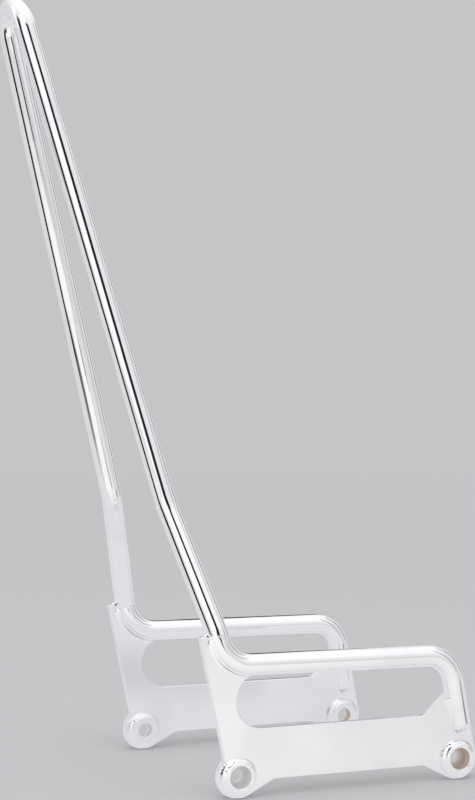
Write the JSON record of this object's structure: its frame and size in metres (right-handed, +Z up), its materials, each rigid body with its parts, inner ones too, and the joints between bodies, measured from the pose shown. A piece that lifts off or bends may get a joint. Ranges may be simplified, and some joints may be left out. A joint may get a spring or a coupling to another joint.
{
  "type": "sissy bar",
  "caption": "Chromed motorbike sissy bar: a round bar bent up into a narrow hairpin above slotted side plates, with welded bosses that bolt to the fender struts.",
  "frame": {"origin": "midway between the two rear bolt holes, on their common axis", "axes": "+X forward along the bike, +Y to the left of the bike, +Z up"},
  "size_m": [0.3383, 0.2166, 0.5799],
  "materials": {
    "bar_chrome": "bright polished chrome on round steel bar",
    "plate_chrome": "bright chrome on flat steel plate, with faint polishing waves",
    "boss_chrome": "bright chrome over turned faces",
    "weld_chrome": "chrome over rippled weld bead"
  },
  "bodies": {
    "root": {"bar": "bar_chrome", "boss_front_left": "boss_chrome", "boss_front_right": "boss_chrome", "boss_rear_left": "boss_chrome", "boss_rear_right": "boss_chrome", "boss_weld_front_inner_left": "weld_chrome", "boss_weld_front_inner_right": "weld_chrome", "boss_weld_front_outer_left": "weld_chrome", "boss_weld_front_outer_right": "weld_chrome", "boss_weld_rear_inner_left": "weld_chrome", "boss_weld_rear_inner_right": "weld_chrome", "boss_weld_rear_outer_left": "weld_chrome", "boss_weld_rear_outer_right": "weld_chrome", "elbow_weld_inner_left": "weld_chrome", "elbow_weld_inner_right": "weld_chrome", "elbow_weld_outer_left": "weld_chrome", "elbow_weld_outer_right": "weld_chrome", "plate_left": "plate_chrome", "plate_right": "plate_chrome", "stub_end_weld_inner_left": "weld_chrome", "stub_end_weld_inner_right": "weld_chrome", "stub_end_weld_outer_left": "weld_chrome", "stub_end_weld_outer_right": "weld_chrome", "stub_weld_inner_left": "weld_chrome", "stub_weld_inner_right": "weld_chrome", "stub_weld_outer_left": "weld_chrome", "stub_weld_outer_right": "weld_chrome", "tip_weld_left": "weld_chrome", "tip_weld_right": "weld_chrome"}
  },
  "joints": []
}
